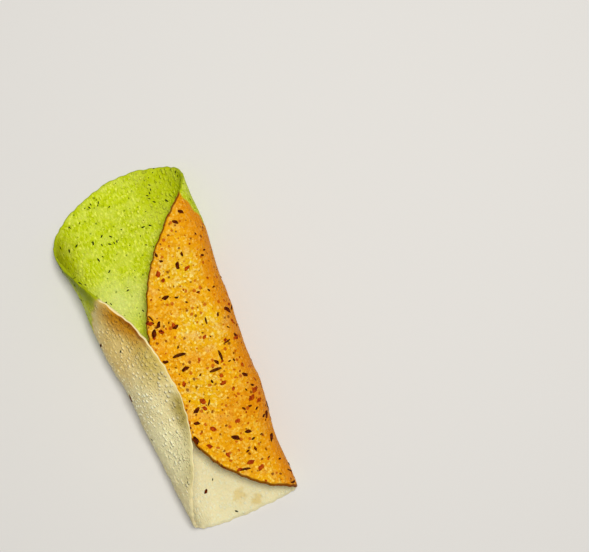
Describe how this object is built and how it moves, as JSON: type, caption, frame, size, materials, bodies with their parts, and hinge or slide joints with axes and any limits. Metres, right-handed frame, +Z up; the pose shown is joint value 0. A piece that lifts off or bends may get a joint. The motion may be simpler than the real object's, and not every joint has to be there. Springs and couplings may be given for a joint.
{
  "type": "rolled papadum",
  "caption": "Thin crisp round papadum in orange, green and cream dough, rolled into an open tapering tube with one flap curled over the other.",
  "frame": {"origin": "middle of the bottom of the rolled papadum's box, on the surface that it lies on", "axes": "+Y along the roll towards its wide end, +Z up, +X across it towards the lower, flat flap"},
  "size_m": [0.0774, 0.1904, 0.0575],
  "materials": {
    "dough": "dry, crisp and finely blistered",
    "spice": "dry broken spice"
  },
  "bodies": {
    "root": {"papadum": "dough"}
  },
  "joints": []
}
